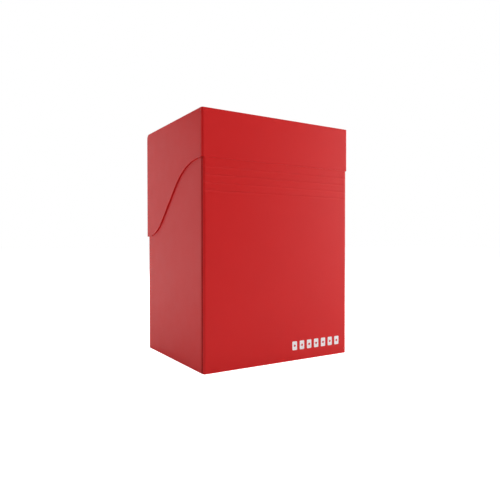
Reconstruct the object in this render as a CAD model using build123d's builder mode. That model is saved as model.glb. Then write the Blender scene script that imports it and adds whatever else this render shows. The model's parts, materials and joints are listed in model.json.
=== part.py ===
from build123d import *
import os

# A box for a deck of sleeved trading cards, folded from polypropylene sheet.
#
# Four die-cut and creased blanks make it: the body, an inner collar that stiffens the
# front and guides the lid, the lid's top with the back strap that is welded to the body,
# and the band of lid flaps, bonded to the top's tabs.  Every panel between two creases is
# a piece of its own here.
#
# Millimetres.  +X is right, +Y is back, +Z is up, and the box faces -Y.  The origin is
# the centre of the footprint, on the surface that the box stands on.

os.makedirs("parts", exist_ok=True)

# ---- Driving dimensions --------------------------------------------------------------

width = 72.5  # across the lid's side flaps
depth = 57.7  # from the front face to the outside of the back strap
height = 100.0

body_sheet = 0.6
lid_sheet = 0.45
collar_sheet = 0.4

side_gap = 0.1  # between a body wall and the lid flap that slides over it
seam_gap = 0.02  # hairline between the front panel's top edge and the lid's front flap

front_fold_radius = 1.1  # outside radius of the body's two front creases
rear_fold_radius = 0.7
lid_fold_radius = 1.0
hinge_radius = 2.0  # outside radius of the living hinge with the lid shut
fold_margin = 0.5  # flat stretch that stays with a crease, before the next panel

lid_edge_z = 81.53  # lower edge of the lid at the front
flap_low_z = 52.35  # lower edge of the lid at the back
curve_front_y = -13.2  # the side flap's straight edges, run on, would cross here ...
curve_rear_y = 18.3  # ... and here
curve_front_radius = 33.2
curve_rear_radius = 24.9

wall_top_z = 93.0  # side walls and collar
back_top_z = 97.0
lid_tab_height = 6.0
collar_low_z = 13.0
collar_flap_reach = 22.0
thumb_notch_radius = 10.0

groove_count = 4
groove_pitch = 3.03
groove_depth = 0.1
groove_lip = 0.12  # height of its steep upper flank
groove_floor = 0.3
groove_slope = 0.6  # height of its gentle lower flank

# ---- Places worked out from them -----------------------------------------------------

front_y = -depth / 2
rear_y = depth / 2
side_x = width / 2
body_x = side_x - lid_sheet - side_gap
body_rear_y = rear_y - lid_sheet
inner_x = body_x - body_sheet
inner_front_y = front_y + body_sheet
inner_rear_y = body_rear_y - body_sheet
lid_inner_x = side_x - lid_sheet
lid_inner_front_y = front_y + lid_sheet
lid_inner_z = height - lid_sheet
front_top_z = lid_edge_z - seam_gap
hinge_y = rear_y - hinge_radius
hinge_z = height - hinge_radius

front_fold_end_y = front_y + front_fold_radius + fold_margin
rear_fold_end_y = body_rear_y - rear_fold_radius - fold_margin
seam_fold_end_y = rear_fold_end_y - body_sheet
lid_fold_end_y = front_y + lid_fold_radius + fold_margin


def creased_strip(sheet, outer_radius, *centre_line):
    """Adds the plan of a sheet standing on edge, bent round each corner of its centre line."""
    with BuildLine() as bends:
        FilletPolyline(*centre_line, radius=outer_radius - sheet / 2)
    trace(bends.line, line_width=sheet)


# ==== Body sheet ======================================================================

# ---- Front panel, with both front creases and the pressed lines ------------------------
#
# Each line is a shallow flute, steep above and gentle below.  The lid's edge is one pitch
# above the first of them.

with BuildPart() as front_panel:
    with BuildSketch():
        creased_strip(
            body_sheet,
            front_fold_radius,
            (-body_x + body_sheet / 2, front_fold_end_y),
            (-body_x + body_sheet / 2, front_y + body_sheet / 2),
            (body_x - body_sheet / 2, front_y + body_sheet / 2),
            (body_x - body_sheet / 2, front_fold_end_y),
        )
    extrude(amount=front_top_z)
    with BuildSketch(Plane.YZ):
        for step in range(groove_count):
            with Locations((front_y, lid_edge_z - (step + 1) * groove_pitch)):
                Polygon(
                    (-groove_depth, 0),
                    (0, 0),
                    (groove_depth, -groove_lip),
                    (groove_depth, -groove_lip - groove_floor),
                    (0, -groove_lip - groove_floor - groove_slope),
                    (-groove_depth, -groove_lip - groove_floor - groove_slope),
                    align=None,
                )
    extrude(amount=body_x, both=True, mode=Mode.SUBTRACT)
front_panel.part.label = "front_panel"
export_step(front_panel.part, "parts/front_panel.step")

# ---- Side walls ------------------------------------------------------------------------

for side, sign, wall_rear_y in (("left", -1, rear_fold_end_y), ("right", 1, seam_fold_end_y)):
    with BuildPart() as side_wall:
        with BuildSketch(Plane.YZ.offset(sign * (body_x - body_sheet / 2))):
            with Locations((front_fold_end_y, 0)):
                Rectangle(wall_rear_y - front_fold_end_y, wall_top_z, align=Align.MIN)
        extrude(amount=body_sheet / 2, both=True)
    side_wall.part.label = f"{side}_wall"
    export_step(side_wall.part, f"parts/{side}_wall.step")

# ---- Back wall, with the left rear crease and a shallow pocket at each weld -----------

weld_radius = 1.25
weld_dimple = 0.2  # how far a weld lies below the strap's surface
weld_bite = 0.3  # how far a weld reaches into the back wall
weld_columns = 4
weld_rows = 2
weld_spacing_x = 18.0
weld_spacing_z = 28.0
weld_z = (flap_low_z + hinge_z) / 2
weld_plane = Plane.XZ.offset(-body_rear_y)

with BuildPart() as back_wall:
    with BuildSketch():
        creased_strip(
            body_sheet,
            rear_fold_radius,
            (-body_x + body_sheet / 2, rear_fold_end_y),
            (-body_x + body_sheet / 2, body_rear_y - body_sheet / 2),
            (body_x, body_rear_y - body_sheet / 2),
        )
    extrude(amount=back_top_z)
    with BuildSketch(weld_plane):
        with Locations((0, weld_z)):
            with GridLocations(weld_spacing_x, weld_spacing_z, weld_columns, weld_rows):
                Circle(weld_radius)
    extrude(amount=weld_bite, mode=Mode.SUBTRACT)
back_wall.part.label = "back_wall"
export_step(back_wall.part, "parts/back_wall.step")

# ---- Seam flap: the right wall's end, creased and welded inside the back wall ---------

seam_flap_reach = 16.0
seam_flap_margin = 3.0  # trimmed off its top and bottom, clear of the corner crease

with BuildPart() as side_seam_flap:
    with BuildSketch():
        creased_strip(
            body_sheet,
            rear_fold_radius,
            (body_x - body_sheet / 2, seam_fold_end_y),
            (body_x - body_sheet / 2, inner_rear_y - body_sheet / 2),
            (body_x - seam_flap_reach, inner_rear_y - body_sheet / 2),
        )
    extrude(amount=wall_top_z)
    with BuildSketch(Plane.XZ.offset(-inner_rear_y)):
        for trim_z in (seam_flap_margin / 2, wall_top_z - seam_flap_margin / 2):
            with Locations((body_x - rear_fold_radius - fold_margin, trim_z)):
                Rectangle(seam_flap_reach, seam_flap_margin, align=(Align.MAX, Align.CENTER))
    extrude(amount=body_sheet, mode=Mode.SUBTRACT)
side_seam_flap.part.label = "side_seam_flap"
export_step(side_seam_flap.part, "parts/side_seam_flap.step")

# ---- Bottom panel, notched at the corner where the seam flap turns in ------------------

seam_notch = 1.6  # just clears the seam flap's crease

with BuildPart() as bottom_panel:
    with BuildSketch():
        with Locations((0, (inner_front_y + inner_rear_y) / 2)):
            RectangleRounded(
                2 * inner_x, inner_rear_y - inner_front_y, front_fold_radius - body_sheet
            )
        with Locations((inner_x, inner_rear_y)):
            Rectangle(seam_notch, seam_notch, align=Align.MAX, mode=Mode.SUBTRACT)
    extrude(amount=body_sheet)
bottom_panel.part.label = "bottom_panel"
export_step(bottom_panel.part, "parts/bottom_panel.step")

# ---- Tuck tab: turned up from the bottom panel behind the front panel -----------------

tuck_tab_width = 60.0
tuck_tab_top_z = 12.0
tuck_tab_corner = 4.0

with BuildPart() as bottom_tuck_tab:
    with BuildSketch(Plane.XZ.offset(-inner_front_y)) as outline:
        with Locations((0, body_sheet)):
            Rectangle(tuck_tab_width, tuck_tab_top_z - body_sheet, align=(Align.CENTER, Align.MIN))
        chamfer(outline.vertices().group_by(Axis.Z)[-1], length=tuck_tab_corner)
    extrude(amount=-body_sheet)
bottom_tuck_tab.part.label = "bottom_tuck_tab"
export_step(bottom_tuck_tab.part, "parts/bottom_tuck_tab.step")

# ---- Dust flaps: turned in from the side walls, on top of the bottom panel ------------

dust_flap_reach = 20.0
dust_flap_taper = 5.0
dust_flap_front_y = inner_front_y + 2 * body_sheet
dust_flap_rear_y = seam_fold_end_y - fold_margin

for side, sign in (("left", -1), ("right", 1)):
    with BuildPart() as dust_flap:
        with BuildSketch(Plane.XY.offset(body_sheet)):
            Polygon(
                (sign * inner_x, dust_flap_front_y),
                (sign * (inner_x - dust_flap_reach), dust_flap_front_y + dust_flap_taper),
                (sign * (inner_x - dust_flap_reach), dust_flap_rear_y - dust_flap_taper),
                (sign * inner_x, dust_flap_rear_y),
                align=None,
            )
        extrude(amount=body_sheet)
    dust_flap.part.label = f"{side}_dust_flap"
    export_step(dust_flap.part, f"parts/{side}_dust_flap.step")

# ==== Collar sheet ====================================================================

# ---- Collar front, behind the front panel, with its thumb notch ------------------------

collar_fold_radius = front_fold_radius - body_sheet
collar_fold_end_y = inner_front_y + collar_fold_radius + fold_margin
notch_mouth_radius = 2.0

with BuildPart() as collar_front:
    with BuildSketch(Plane.XY.offset(collar_low_z)):
        creased_strip(
            collar_sheet,
            collar_fold_radius,
            (-inner_x + collar_sheet / 2, collar_fold_end_y),
            (-inner_x + collar_sheet / 2, inner_front_y + collar_sheet / 2),
            (inner_x - collar_sheet / 2, inner_front_y + collar_sheet / 2),
            (inner_x - collar_sheet / 2, collar_fold_end_y),
        )
    extrude(amount=wall_top_z - collar_low_z)
    with BuildSketch(Plane.XZ.offset(-inner_front_y)):
        with Locations((0, wall_top_z)):
            Circle(thumb_notch_radius)
    extrude(amount=-collar_sheet, mode=Mode.SUBTRACT)
    mouth_edges = (
        collar_front.edges()
        .filter_by(Axis.Y)
        .filter_by_position(Axis.Z, wall_top_z, wall_top_z)
        .filter_by_position(Axis.X, -thumb_notch_radius, thumb_notch_radius)
    )
    fillet(mouth_edges, radius=notch_mouth_radius)
collar_front.part.label = "collar_front"
export_step(collar_front.part, "parts/collar_front.step")

# ---- Collar side flaps, against the side walls -----------------------------------------

collar_flap_corner = 5.0

for side, sign in (("left", -1), ("right", 1)):
    with BuildPart() as collar_flap:
        with BuildSketch(Plane.YZ.offset(sign * (inner_x - collar_sheet / 2))) as outline:
            with Locations((collar_fold_end_y, collar_low_z)):
                Rectangle(collar_flap_reach, wall_top_z - collar_low_z, align=Align.MIN)
            fillet(outline.vertices().group_by(Axis.Y)[-1], radius=collar_flap_corner)
        extrude(amount=collar_sheet / 2, both=True)
    collar_flap.part.label = f"collar_{side}_flap"
    export_step(collar_flap.part, f"parts/collar_{side}_flap.step")

# ==== Lid sheet =======================================================================

# ---- Back strap, welded to the outside of the back wall ---------------------------------

with BuildPart() as back_strap:
    with BuildSketch(weld_plane):
        with Locations((0, flap_low_z)):
            Rectangle(2 * body_x, hinge_z - flap_low_z, align=(Align.CENTER, Align.MIN))
        with Locations((0, weld_z)):
            with GridLocations(weld_spacing_x, weld_spacing_z, weld_columns, weld_rows):
                Circle(weld_radius, mode=Mode.SUBTRACT)
    extrude(amount=-lid_sheet)
back_strap.part.label = "back_strap"
export_step(back_strap.part, "parts/back_strap.step")

# ---- Welds: spots of melted sheet that join the strap to the back wall ----------------

with BuildPart() as strap_welds:
    with BuildSketch(weld_plane.offset(weld_bite)):
        with Locations((0, weld_z)):
            with GridLocations(weld_spacing_x, weld_spacing_z, weld_columns, weld_rows):
                Circle(weld_radius)
    extrude(amount=-(weld_bite + lid_sheet - weld_dimple))
strap_welds.part.label = "strap_welds"
export_step(strap_welds.part, "parts/strap_welds.step")

# ---- Living hinge: the thin quarter bend between the strap and the lid's top ----------

with BuildPart() as hinge_web:
    with BuildSketch(Plane.YZ):
        with Locations((hinge_y, hinge_z)):
            Circle(hinge_radius)
            Circle(hinge_radius - lid_sheet, mode=Mode.SUBTRACT)
            Rectangle(hinge_radius, hinge_radius, align=Align.MIN, mode=Mode.INTERSECT)
    extrude(amount=body_x, both=True)
hinge_web.part.label = "hinge_web"
export_step(hinge_web.part, "parts/hinge_web.step")

# ---- Lid top, inside the lid's band of flaps, with soft creases to its tabs ------------

lid_crease_radius = 0.4

with BuildPart() as lid_top:
    with BuildSketch(Plane.XY.offset(lid_inner_z)) as outline:
        with Locations((0, lid_inner_front_y)):
            Rectangle(
                2 * lid_inner_x, hinge_y - lid_inner_front_y, align=(Align.CENTER, Align.MIN)
            )
        fillet(outline.vertices().group_by(Axis.Y)[0], radius=lid_fold_radius - lid_sheet)
    extrude(amount=lid_sheet)
    fillet(
        lid_top.faces().sort_by(Axis.Z)[-1].edges().sort_by(Axis.Y)[:-1],
        radius=lid_crease_radius,
    )
lid_top.part.label = "lid_top"
export_step(lid_top.part, "parts/lid_top.step")

# ---- Lid front flap, with both of the lid's upright creases ----------------------------

with BuildPart() as lid_front_flap:
    with BuildSketch(Plane.XY.offset(lid_edge_z)):
        creased_strip(
            lid_sheet,
            lid_fold_radius,
            (-side_x + lid_sheet / 2, lid_fold_end_y),
            (-side_x + lid_sheet / 2, front_y + lid_sheet / 2),
            (side_x - lid_sheet / 2, front_y + lid_sheet / 2),
            (side_x - lid_sheet / 2, lid_fold_end_y),
        )
    extrude(amount=height - lid_edge_z)
lid_front_flap.part.label = "lid_front_flap"
export_step(lid_front_flap.part, "parts/lid_front_flap.step")

# ---- Lid side flaps, cut to an S curve that falls towards the back ---------------------

for side, sign in (("left", -1), ("right", 1)):
    with BuildPart() as lid_flap:
        with BuildSketch(Plane.YZ.offset(sign * (side_x - lid_sheet / 2))):
            with BuildLine():
                FilletPolyline(
                    (lid_fold_end_y, lid_edge_z),
                    (curve_front_y, lid_edge_z),
                    (curve_rear_y, flap_low_z),
                    (rear_y, flap_low_z),
                    (rear_y, height),
                    (lid_fold_end_y, height),
                    radius=(0, curve_front_radius, curve_rear_radius, 0, hinge_radius, 0),
                    close=True,
                )
            make_face()
        extrude(amount=lid_sheet / 2, both=True)
    lid_flap.part.label = f"lid_{side}_flap"
    export_step(lid_flap.part, f"parts/lid_{side}_flap.step")

# ---- Lid tabs: turned down from the lid's top and bonded inside its flaps --------------

lid_tab_corner = 2.0
lid_tab_low_z = lid_inner_z - lid_tab_height
lid_side_tab_front_y = lid_inner_front_y + 2 * lid_sheet
lid_side_tab_length = hinge_y - 2 * lid_sheet - lid_side_tab_front_y
lid_front_tab_width = 2 * (lid_inner_x - 2 * lid_sheet)

with BuildPart() as lid_front_tab:
    with BuildSketch(Plane.XZ.offset(-lid_inner_front_y)) as outline:
        with Locations((0, lid_tab_low_z)):
            Rectangle(lid_front_tab_width, lid_tab_height, align=(Align.CENTER, Align.MIN))
        chamfer(outline.vertices().group_by(Axis.Z)[0], length=lid_tab_corner)
    extrude(amount=-lid_sheet)
lid_front_tab.part.label = "lid_front_tab"
export_step(lid_front_tab.part, "parts/lid_front_tab.step")

for side, sign in (("left", -1), ("right", 1)):
    with BuildPart() as lid_tab:
        with BuildSketch(Plane.YZ.offset(sign * (lid_inner_x - lid_sheet / 2))) as outline:
            with Locations((lid_side_tab_front_y, lid_tab_low_z)):
                Rectangle(lid_side_tab_length, lid_tab_height, align=Align.MIN)
            chamfer(outline.vertices().group_by(Axis.Z)[0], length=lid_tab_corner)
        extrude(amount=lid_sheet / 2, both=True)
    lid_tab.part.label = f"lid_{side}_tab"
    export_step(lid_tab.part, f"parts/lid_{side}_tab.step")

# ==== Print ===========================================================================

# ---- Printed mark: a plain row of playing cards, each with a diamond left clear --------

card_count = 7
card_width = 2.4
card_height = 3.7
card_pitch = 3.85
card_corner = 0.4
card_pip_radius = 0.65
ink = 0.03
mark_x = 18.4
mark_z = 6.2

with BuildPart() as printed_mark:
    with BuildSketch(Plane.XZ.offset(-front_y)):
        with Locations((mark_x, mark_z)):
            with GridLocations(card_pitch, 0, card_count, 1):
                RectangleRounded(card_width, card_height, card_corner)
                RegularPolygon(card_pip_radius, side_count=4, mode=Mode.SUBTRACT)
    extrude(amount=ink)
printed_mark.part.label = "printed_mark"
export_step(printed_mark.part, "parts/printed_mark.step")
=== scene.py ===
"""A folded polypropylene card deck box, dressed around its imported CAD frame.

Each CAD node gets one detailed piece that stands for it: sheet panels with softened cut
edges, two creased front panels with their scores, one of them with pressed lines, the
living hinge and the melted welds.  The printed mark keeps its CAD shape and gets its ink.
"""

import json
import math
from collections import namedtuple

import bmesh
import bpy
from mathutils import Matrix, Vector
from mathutils.bvhtree import BVHTree


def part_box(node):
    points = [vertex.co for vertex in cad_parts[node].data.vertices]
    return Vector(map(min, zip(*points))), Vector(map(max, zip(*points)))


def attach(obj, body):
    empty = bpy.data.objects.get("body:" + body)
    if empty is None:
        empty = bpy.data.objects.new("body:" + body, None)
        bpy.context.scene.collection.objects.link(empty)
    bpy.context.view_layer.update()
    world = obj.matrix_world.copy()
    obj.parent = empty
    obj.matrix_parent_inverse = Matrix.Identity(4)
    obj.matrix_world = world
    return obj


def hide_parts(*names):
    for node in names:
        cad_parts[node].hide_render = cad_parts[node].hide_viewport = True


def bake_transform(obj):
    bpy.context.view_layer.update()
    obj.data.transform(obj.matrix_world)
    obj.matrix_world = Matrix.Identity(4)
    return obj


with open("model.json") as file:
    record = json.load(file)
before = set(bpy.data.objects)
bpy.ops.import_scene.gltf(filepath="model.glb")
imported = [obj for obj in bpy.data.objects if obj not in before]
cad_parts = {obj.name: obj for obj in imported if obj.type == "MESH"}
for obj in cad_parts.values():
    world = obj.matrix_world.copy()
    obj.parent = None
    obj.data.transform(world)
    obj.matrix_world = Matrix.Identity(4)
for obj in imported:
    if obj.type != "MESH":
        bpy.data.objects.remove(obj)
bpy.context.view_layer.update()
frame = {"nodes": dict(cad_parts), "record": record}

MM = 0.001
BODY_OF = {
    node: body for body, nodes in frame["record"]["behaviour"]["bodies"].items() for node in nodes
}
SLOT_OF = {part["node"]: part["material_slot"] for part in frame["record"]["subparts"]}

# Panels that are one sheet, folded between them: no cut edge where they meet.
JOINED = [
    ("front_panel", "left_wall"),
    ("front_panel", "right_wall"),
    ("left_wall", "back_wall"),
    ("right_wall", "side_seam_flap"),
    ("left_wall", "left_dust_flap"),
    ("right_wall", "right_dust_flap"),
    ("bottom_panel", "bottom_tuck_tab"),
    ("collar_front", "collar_left_flap"),
    ("collar_front", "collar_right_flap"),
    ("back_strap", "hinge_web"),
    ("hinge_web", "lid_top"),
    ("lid_front_flap", "lid_left_flap"),
    ("lid_front_flap", "lid_right_flap"),
    ("lid_top", "lid_front_tab"),
    ("lid_top", "lid_left_tab"),
    ("lid_top", "lid_right_tab"),
]


# ---- Camera, floor and light ---------------------------------------------------------------


def make_camera():
    """A camera level with the middle of the box, in front of it and to its left."""
    data = bpy.data.cameras.new("camera")
    data.sensor_width = 36.0
    data.lens = 35.28
    data.clip_start = 0.01
    camera = bpy.data.objects.new("camera", data)
    bpy.context.scene.collection.objects.link(camera)
    turn = math.radians(31.9)
    dip = math.radians(0.805)
    roll = math.radians(-0.04)
    camera.location = (-117.39 * MM, -193.02 * MM, 49.28 * MM)
    aim = Matrix.Rotation(-turn, 4, "Z") @ Matrix.Rotation(math.radians(90) - dip, 4, "X")
    camera.rotation_euler = (aim @ Matrix.Rotation(roll, 4, "Z")).to_euler()
    bpy.context.scene.camera = camera


def make_floor():
    """A pale studio floor; what the lens sees of it is lifted to white, but not what it reflects."""
    reach = 4.0
    mesh = bpy.data.meshes.new("floor")
    corners = [(-reach, -reach, 0), (reach, -reach, 0), (reach, reach, 0), (-reach, reach, 0)]
    mesh.from_pydata(corners, [], [(0, 1, 2, 3)])
    floor = bpy.data.objects.new("floor", mesh)
    bpy.context.scene.collection.objects.link(floor)
    material = bpy.data.materials.new("floor")
    material.use_nodes = True
    nodes = material.node_tree.nodes
    shader = nodes["Principled BSDF"]
    shader.inputs["Base Color"].default_value = (0.8, 0.8, 0.8, 1)
    shader.inputs["Roughness"].default_value = 0.9
    shader.inputs["Emission Color"].default_value = (1, 1, 1, 1)
    paths = nodes.new("ShaderNodeLightPath")
    seen, glow = paths.outputs["Is Camera Ray"], shader.inputs["Emission Strength"]
    material.node_tree.links.new(seen, glow)
    floor.data.materials.append(material)


def make_softbox(name, azimuth, elevation, distance, size, power):
    """An area light that faces the middle of the box. Azimuth 0 is in front of it, 90 at its right."""
    data = bpy.data.lights.new(name, "AREA")
    data.shape = "RECTANGLE"
    data.size, data.size_y = size
    data.energy = power
    light = bpy.data.objects.new(name, data)
    bpy.context.scene.collection.objects.link(light)
    turn, rise = math.radians(azimuth), math.radians(elevation)
    away = Vector((math.sin(turn) * math.cos(rise), -math.cos(turn) * math.cos(rise), math.sin(rise)))
    light.location = Vector((0, 0, 0.05)) + away * distance
    light.rotation_euler = away.to_track_quat("Z", "Y").to_euler()


def make_light():
    make_softbox("top", 0, 88, 0.7, (0.6, 0.6), 3.5)
    make_softbox("front", 0, 45, 0.6, (0.4, 0.4), 1.0)
    make_softbox("low_right", 68, 8, 0.34, (0.25, 0.25), 0.74)
    make_softbox("right", 80, 30, 0.4, (0.3, 0.3), 0.18)
    make_softbox("left", -110, 12, 0.36, (0.25, 0.25), 0.27)
    make_softbox("rear_left", -155, 6, 0.3, (0.2, 0.2), 0.126)
    make_softbox("back", 160, 35, 0.6, (0.4, 0.4), 1.1)
    world = bpy.data.worlds.new("studio")
    world.use_nodes = True
    nodes = world.node_tree.nodes
    background = nodes["Background"]
    background.inputs["Color"].default_value = (1, 1, 1, 1)
    paths = nodes.new("ShaderNodeLightPath")
    strength = nodes.new("ShaderNodeMapRange")
    strength.inputs["To Min"].default_value = 0.02
    strength.inputs["To Max"].default_value = 1.0
    world.node_tree.links.new(paths.outputs["Is Camera Ray"], strength.inputs["Value"])
    world.node_tree.links.new(strength.outputs["Result"], background.inputs["Strength"])
    bpy.context.scene.world = world


# ---- Materials -----------------------------------------------------------------------------


def noise(nodes, links, place, scale, detail):
    """A noise texture whose features are about 1 / scale metres wide."""
    texture = nodes.new("ShaderNodeTexNoise")
    texture.inputs["Scale"].default_value = scale
    texture.inputs["Detail"].default_value = detail
    links.new(place.outputs["Object"], texture.inputs["Vector"])
    return texture


def plastic(name, colour, tone, rough, grain_scale, grain_depth, wave_depth=0.0, shine=0.5):
    """Coloured plastic: clouded tone, uneven gloss, a fine grain and long shallow waves.

    tone is how far the colour clouds, rough the least and the greatest roughness, and shine
    the strength of its reflections, 0.5 for clean plastic.
    """
    material = bpy.data.materials.new(name)
    material.use_nodes = True
    nodes, links = material.node_tree.nodes, material.node_tree.links
    shader = nodes["Principled BSDF"]
    shader.inputs["IOR"].default_value = 1.38
    shader.inputs["Specular IOR Level"].default_value = shine
    place = nodes.new("ShaderNodeTexCoord")

    clouds = noise(nodes, links, place, 60, 3)
    colours = nodes.new("ShaderNodeValToRGB")
    low, high = colours.color_ramp.elements
    low.position, high.position = 0.3, 0.7
    low.color = (*[c * (1 - tone) for c in colour], 1)
    high.color = (*[min(c * (1 + tone), 1) for c in colour], 1)
    links.new(clouds.outputs["Fac"], colours.inputs["Fac"])
    links.new(colours.outputs["Color"], shader.inputs["Base Color"])

    smears = noise(nodes, links, place, 180, 4)
    gloss = nodes.new("ShaderNodeMapRange")
    gloss.inputs["From Min"].default_value = 0.3
    gloss.inputs["From Max"].default_value = 0.7
    gloss.inputs["To Min"].default_value = rough[0]
    gloss.inputs["To Max"].default_value = rough[1]
    links.new(smears.outputs["Fac"], gloss.inputs["Value"])
    links.new(gloss.outputs["Result"], shader.inputs["Roughness"])

    grain = noise(nodes, links, place, grain_scale, 2)
    relief = nodes.new("ShaderNodeBump")
    relief.inputs["Strength"].default_value = 1.0
    relief.inputs["Distance"].default_value = grain_depth
    links.new(grain.outputs["Fac"], relief.inputs["Height"])
    links.new(relief.outputs["Normal"], shader.inputs["Normal"])
    if wave_depth:
        waves = noise(nodes, links, place, 35, 1)
        swell = nodes.new("ShaderNodeBump")
        swell.inputs["Strength"].default_value = 1.0
        swell.inputs["Distance"].default_value = wave_depth
        links.new(waves.outputs["Fac"], swell.inputs["Height"])
        links.new(swell.outputs["Normal"], relief.inputs["Normal"])
    return material


RED = (0.68, 0.0065, 0.007)
LINER_RED = (0.62, 0.006, 0.0064)
# The cut-edge red is a touch lighter than the sheet: partly the paler look of a die-cut edge, partly
# painted light that lifts the shade on edges facing down.
EDGE_RED = (0.7, 0.0085, 0.009)
# The crease red below is painted shade: the scores' hollows darkened in their colour.
CREASE_PAINTED_SHADE_RED = (0.36, 0.003, 0.003)
WELD_RED = (0.5, 0.005, 0.0054)
WHITE = (0.96, 0.96, 0.97)


def embossed(name):
    """The finish of the two outer sheets: one red, evenly matte, with a fine emboss."""
    return plastic(name, RED, 0.012, (0.44, 0.48), 2600, 0.018 * MM, wave_depth=0.05 * MM)


def make_materials():
    """The finishes, by the record's material slot, and the ones for cut edges and creases; the
    creases' darker red is painted shade.
    """
    return {
        "body_sheet": embossed("embossed_red_sheet"),
        "lid_sheet": embossed("embossed_red_lid"),
        "collar_sheet": plastic("smooth_red_liner", LINER_RED, 0.03, (0.34, 0.42), 3200, 0.006 * MM),
        # Cut edges: a lighter red, partly a die-cut look and partly painted light against their shade.
        "edge": plastic("cut_red_edge", EDGE_RED, 0.05, (0.28, 0.4), 5000, 0.01 * MM),
        # Painted shade: a darker red, with weaker reflections, for the faces deep in the scores.
        "crease": plastic(
            "red_crease_painted_shade", CREASE_PAINTED_SHADE_RED, 0.05, (0.5, 0.6), 4000, 0.008 * MM, shine=0.2
        ),
        "weld": plastic("melted_red_weld", WELD_RED, 0.12, (0.12, 0.3), 1800, 0.03 * MM),
        "ink": plastic("white_ink", WHITE, 0.02, (0.35, 0.5), 4000, 0.004 * MM),
    }


# ---- Mesh helpers --------------------------------------------------------------------------


EDGE_SLOT = 1
CREASE_SLOT = 2


def stand_for(name, bm, *nodes):
    """Turns a bmesh into the piece that stands for CAD nodes, with their finish, and hides those
    nodes.
    """
    mesh = bpy.data.meshes.new(name)
    bmesh.ops.recalc_face_normals(bm, faces=bm.faces)
    for face in bm.faces:
        face.smooth = True
    bm.to_mesh(mesh)
    bm.free()
    mesh.set_sharp_from_angle(angle=math.radians(50))
    piece = bpy.data.objects.new(name, mesh)
    bpy.context.scene.collection.objects.link(piece)
    slot = SLOT_OF[nodes[0]]
    mesh.materials.append(MATERIALS[slot])
    mesh.materials.append(MATERIALS["edge"])
    mesh.materials.append(MATERIALS["crease"])
    normals = piece.modifiers.new("weighted_normals", "WEIGHTED_NORMAL")
    normals.keep_sharp = True
    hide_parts(*nodes)
    return piece


def cad_mesh(node):
    """A CAD node's mesh, welded and with its flat faces whole again."""
    bm = bmesh.new()
    bm.from_mesh(frame["nodes"][node].data)
    bmesh.ops.remove_doubles(bm, verts=bm.verts, dist=0.0005 * MM)
    bmesh.ops.dissolve_limit(bm, angle_limit=math.radians(0.5), verts=bm.verts, edges=bm.edges)
    return bm


def sheet_of(side_panel):
    """Thickness of the sheet that a side panel is part of."""
    low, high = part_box(side_panel)
    return high.x - low.x


# ---- Flat panels: the CAD sheet with softened cut edges -------------------------------------

CUT_ANGLE = math.radians(60)
EDGE_ROUND = 0.11 * MM
RIM_WIDTH = 0.8 * MM  # a face narrower than this can be the sheet's cut edge ...
RIM_SHARE = 0.6  # ... if more than this share of its outline is cut


def neighbours(node):
    """Search trees of the panels that are the same sheet as this one."""
    pairs = [pair for pair in JOINED if node in pair]
    others = [b if a == node else a for a, b in pairs]
    trees = []
    for other in others:
        bm = bmesh.new()
        bm.from_mesh(frame["nodes"][other].data)
        trees.append(BVHTree.FromBMesh(bm))
        bm.free()
    return trees


def is_cut(edge, trees):
    """True for a sharp edge that doesn't lie against the next panel of its own sheet."""
    if len(edge.link_faces) != 2 or edge.calc_face_angle() < CUT_ANGLE:
        return False
    middle = (edge.verts[0].co + edge.verts[1].co) / 2
    return not any(tree.find_nearest(middle, 0.002 * MM)[0] for tree in trees)


def soft_panel(node):
    """The node's sheet with its cut edges rounded, and those edges in the cut-edge finish."""
    bm = cad_mesh(node)
    trees = neighbours(node)
    cut = {edge for edge in bm.edges if is_cut(edge, trees)}
    for face in bm.faces:
        cut_length = sum(edge.calc_length() for edge in face.edges if edge in cut)
        around = face.calc_perimeter()
        width = 2 * face.calc_area() / around
        if cut_length > RIM_SHARE * around and width < RIM_WIDTH:
            face.material_index = EDGE_SLOT
    bmesh.ops.bevel(
        bm,
        geom=list(cut),
        offset=EDGE_ROUND,
        segments=3,
        profile=0.5,
        affect="EDGES",
        clamp_overlap=True,
        material=EDGE_SLOT,
    )
    piece = stand_for(f"{node}_sheet", bm, node)
    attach(piece, BODY_OF[node])


# ---- Creased panels: a vertical section swept round a U-shaped plan --------------------------

FLUTE_COUNT = 4
FLUTE_PITCH = 3.03 * MM
FLUTE_DEPTH = 0.1 * MM
FLUTE_LIP = 0.12 * MM
FLUTE_FLOOR = 0.3 * MM
FLUTE_SLOPE = 0.6 * MM
FLUTE_HEIGHT = FLUTE_LIP + FLUTE_FLOOR + FLUTE_SLOPE
LIP_STEPS = 4
SLOPE_STEPS = 8

BODY_FOLD_RADIUS = 1.1 * MM
LID_FOLD_RADIUS = 1.0 * MM
RIM_ROUND = 0.04 * MM
FADE_SHARE = 0.35  # share of a bend over which the pressed lines fade out

# A Score's last field is the share of its depth past which its faces are painted darker, as shade.
Score = namedtuple("Score", "shift half_width depth burnish")
BODY_SCORE = Score(shift=0.05 * MM, half_width=0.42 * MM, depth=0.3 * MM, burnish=0.3)
LID_SCORE = Score(shift=0, half_width=0.3 * MM, depth=0.04 * MM, burnish=1)


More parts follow.
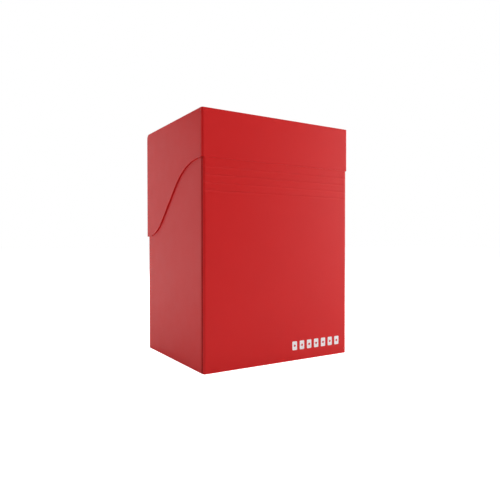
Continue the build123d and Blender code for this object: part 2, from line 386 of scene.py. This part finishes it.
class CreasedPlan:
    """The plan of a panel that folds back at both front corners, by distance along its outer face."""

    def __init__(self, low, high, radius):
        self.side, self.front, self.end = high.x, low.y, high.y
        self.radius = radius
        self.flank = self.end - self.front - radius
        self.bend = math.pi / 2 * radius
        self.face = 2 * (self.side - radius)
        self.length = 2 * self.flank + 2 * self.bend + self.face

    def at(self, distance):
        """(point, outward direction) at a distance from the left end."""
        if distance > self.length / 2:
            point, out = self.at(self.length - distance)
            return Vector((-point.x, point.y)), Vector((-out.x, out.y))
        if distance < self.flank:
            return Vector((-self.side, self.end - distance)), Vector((-1, 0))
        turned = min((distance - self.flank) / self.radius, math.pi / 2)
        out = Vector((-math.cos(turned), -math.sin(turned)))
        centre = Vector((-self.side + self.radius, self.front + self.radius))
        past = max(distance - self.flank - self.bend, 0)
        return centre + out * self.radius + Vector((past, 0)), out

    def stations(self, score_shift, score_half_width):
        """Distances where the mesh has a column: close together on the bends and at their scores."""
        left = [0, self.flank + score_shift - 2 * score_half_width]
        steps = 8
        left += [
            self.flank + score_shift + score_half_width * k / steps for k in range(-steps, steps + 1)
        ]
        bends = 12
        left += [
            self.flank + self.bend * k / bends
            for k in range(bends + 1)
            if self.bend * k / bends > score_shift + 1.05 * score_half_width
        ]
        columns = 12
        left += [self.flank + self.bend + self.face / 2 * k / columns for k in range(1, columns)]
        return left + [self.length / 2] + [self.length - d for d in reversed(left)]


def score_depth(plan, distance, score):
    """Depth of the line that the creasing rule pressed where each bend leaves the side."""
    from_end = min(distance, plan.length - distance)
    off = abs(from_end - plan.flank - score.shift) / score.half_width
    return score.depth * (1 - off**2) ** 2 if off < 1 else 0


def on_front(plan, distance):
    """1 on the front face, falling to 0 round the bends."""
    into_bend = plan.flank + plan.bend - min(distance, plan.length - distance)
    return 1 - min(max(into_bend / (FADE_SHARE * plan.bend), 0), 1)


def flute_depth(z, tops):
    """Depth of the pressed lines at a height: a steep lip, a flat floor and a gentle slope."""
    for top in tops:
        below = top - z
        if 0 < below < FLUTE_HEIGHT:
            share = min(below / FLUTE_LIP, (FLUTE_HEIGHT - below) / FLUTE_SLOPE, 1)
            return FLUTE_DEPTH * share * share * (3 - 2 * share)
    return 0


def creased_panel(node, radius, sheet, score, flutes=()):
    """A creased front panel with rounded rims, scores at its bends and pressed lines across it.

    Where a score is deeper than the share of its depth given in its Score, its faces get the crease
    material, a darker red that is painted shade in the score's hollow.
    """
    low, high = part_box(node)
    plan = CreasedPlan(low, high, radius)
    rim = RIM_ROUND
    turns = 3
    quarter = [math.pi / 2 * k / turns for k in range(turns + 1)]
    heights = [low.z + rim, high.z - rim]
    for top in flutes:
        heights += [top - FLUTE_LIP * k / LIP_STEPS for k in range(LIP_STEPS + 1)]
        foot = top - FLUTE_HEIGHT
        heights += [foot + FLUTE_SLOPE * k / SLOPE_STEPS for k in range(SLOPE_STEPS + 1)]
    heights = sorted(h for h in heights if low.z + rim <= h <= high.z - rim)

    outer = [(rim * (1 - math.sin(a)), low.z + rim * (1 - math.cos(a)), True) for a in quarter[:-1]]
    outer += [(0, h, False) for h in heights]
    outer += [(rim * (1 - math.cos(a)), high.z - rim * (1 - math.sin(a)), True) for a in quarter[1:]]
    inner = [(sheet - inset, z, edge) for inset, z, edge in reversed(outer) if edge]
    outer_count = len(outer)
    section = outer + inner

    bm = bmesh.new()
    rings = []
    pressed_at = {}
    for distance in plan.stations(score.shift, score.half_width):
        point, out = plan.at(distance)
        pressed = score_depth(plan, distance, score)
        ring = []
        for index, (inset, z, _) in enumerate(section):
            relief = 0
            if index < outer_count:
                relief = pressed + on_front(plan, distance) * flute_depth(z, flutes)
            place = point - out * (inset + relief)
            vertex = bm.verts.new((place.x, place.y, z))
            pressed_at[vertex] = pressed
            ring.append(vertex)
        rings.append(ring)
    count = len(section)
    # Score faces deeper than this get the crease material's painted shade.
    painted_shade_from_depth = score.burnish * score.depth
    for ring, after in zip(rings, rings[1:]):
        for k in range(count):
            m = (k + 1) % count
            face = bm.faces.new((ring[k], after[k], after[m], ring[m]))
            if section[k][2] and section[m][2]:
                face.material_index = EDGE_SLOT
            elif m < outer_count and painted_shade_from_depth < min(pressed_at[ring[k]], pressed_at[after[k]]):
                face.material_index = CREASE_SLOT
    bm.faces.new(rings[0])
    bm.faces.new(rings[-1])
    piece = stand_for(f"{node}_sheet", bm, node)
    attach(piece, BODY_OF[node])


# ---- Living hinge ----------------------------------------------------------------------------


HINGE_THINNING = 0.12 * MM
HINGE_SCORE_DEPTH = 0.06 * MM
HINGE_SCORES = (0.12, 0.88)  # as shares of the way round the bend
HINGE_SCORE_SPREAD = 0.05


def hinge_score(share):
    """Depth of the two lines pressed along the web, at a share of the way round its bend."""
    return HINGE_SCORE_DEPTH * sum(
        math.exp(-(((share - place) / HINGE_SCORE_SPREAD) ** 2)) for place in HINGE_SCORES
    )


def hinge_web():
    """The thin web, scored along both its ends, on which the lid folds; built here in one fixed bend.
    """
    low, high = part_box("hinge_web")
    radius = high.y - low.y
    sheet = high.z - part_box("lid_top")[0].z
    centre_y, centre_z = low.y, low.z
    steps = 32
    bm = bmesh.new()
    rings = []
    columns = 24
    for column in range(columns + 1):
        x = low.x + (high.x - low.x) * column / columns
        outer, inner = [], []
        for step in range(steps + 1):
            turned = math.pi / 2 * step / steps
            share = step / steps
            thinned = HINGE_THINNING * math.sin(math.pi * share) ** 2
            outer_reach, inner_reach = radius - hinge_score(share), radius - sheet + thinned
            for side, reach in ((outer, outer_reach), (inner, inner_reach)):
                place = (x, centre_y + reach * math.cos(turned), centre_z + reach * math.sin(turned))
                side.append(bm.verts.new(place))
        rings.append(outer + inner[::-1])
    count = len(rings[0])
    for ring, after in zip(rings, rings[1:]):
        for k in range(count):
            m = (k + 1) % count
            bm.faces.new((ring[k], after[k], after[m], ring[m]))
    for ring in (rings[0], rings[-1]):
        for k in range(steps):
            end = bm.faces.new((ring[k], ring[k + 1], ring[count - 2 - k], ring[count - 1 - k]))
            end.material_index = EDGE_SLOT
    piece = stand_for("hinge_web_strip", bm, "hinge_web")
    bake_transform(piece)


# ---- Welds -----------------------------------------------------------------------------------

WELD_RADIUS = 1.25 * MM
WELD_COLUMNS = 4
WELD_ROWS = 2
# A melted spot's profile, as (share of its radius, height in millimetres), from its middle out.
WELD_PROFILE = [
    (0.0, -0.16),
    (0.3, -0.15),
    (0.55, -0.1),
    (0.72, -0.02),
    (0.82, 0),
    (0.9, -0.03),
    (0.97, -0.1),
    (1, -0.14),
]


def strap_welds():
    """Melted spots: a dished face inside a raised ring, and a rim squeezed against the strap."""
    low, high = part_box("strap_welds")
    face_y, back_y = high.y, low.y
    span_x = high.x - low.x - 2 * WELD_RADIUS
    span_z = high.z - low.z - 2 * WELD_RADIUS
    turns = 32
    bm = bmesh.new()
    for column in range(WELD_COLUMNS):
        for row in range(WELD_ROWS):
            x = low.x + WELD_RADIUS + span_x * column / (WELD_COLUMNS - 1)
            z = low.z + WELD_RADIUS + span_z * row / (WELD_ROWS - 1)
            middle = bm.verts.new((x, face_y + WELD_PROFILE[0][1] * MM, z))
            rings = []
            rows = [(share, face_y + rise * MM) for share, rise in WELD_PROFILE[1:]] + [(1, back_y)]
            for share, y in rows:
                ring = []
                for k in range(turns):
                    a = 2 * math.pi * k / turns
                    reach = WELD_RADIUS * share
                    ring.append(bm.verts.new((x + reach * math.cos(a), y, z + reach * math.sin(a))))
                rings.append(ring)
            for k in range(turns):
                bm.faces.new((middle, rings[0][k], rings[0][(k + 1) % turns]))
            for ring, after in zip(rings, rings[1:]):
                for k in range(turns):
                    m = (k + 1) % turns
                    bm.faces.new((ring[k], after[k], after[m], ring[m]))
            bm.faces.new(rings[-1])
    piece = stand_for("strap_welds_melted", bm, "strap_welds")
    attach(piece, BODY_OF["strap_welds"])


# ---- The whole object ------------------------------------------------------------------------

make_camera()
make_floor()
make_light()
MATERIALS = make_materials()

lid_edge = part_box("lid_front_flap")[0].z
flute_tops = [lid_edge - FLUTE_PITCH * (k + 1) for k in range(FLUTE_COUNT)]
creased_panel("front_panel", BODY_FOLD_RADIUS, sheet_of("left_wall"), BODY_SCORE, flute_tops)
creased_panel("lid_front_flap", LID_FOLD_RADIUS, sheet_of("lid_left_flap"), LID_SCORE)
hinge_web()
strap_welds()

frame["nodes"]["printed_mark"].data.materials.clear()
frame["nodes"]["printed_mark"].data.materials.append(MATERIALS["ink"])
custom = ("front_panel", "lid_front_flap", "hinge_web", "strap_welds", "printed_mark")
for node in sorted(frame["nodes"]):
    if node not in custom:
        soft_panel(node)

bpy.context.scene.view_settings.view_transform = "Standard"
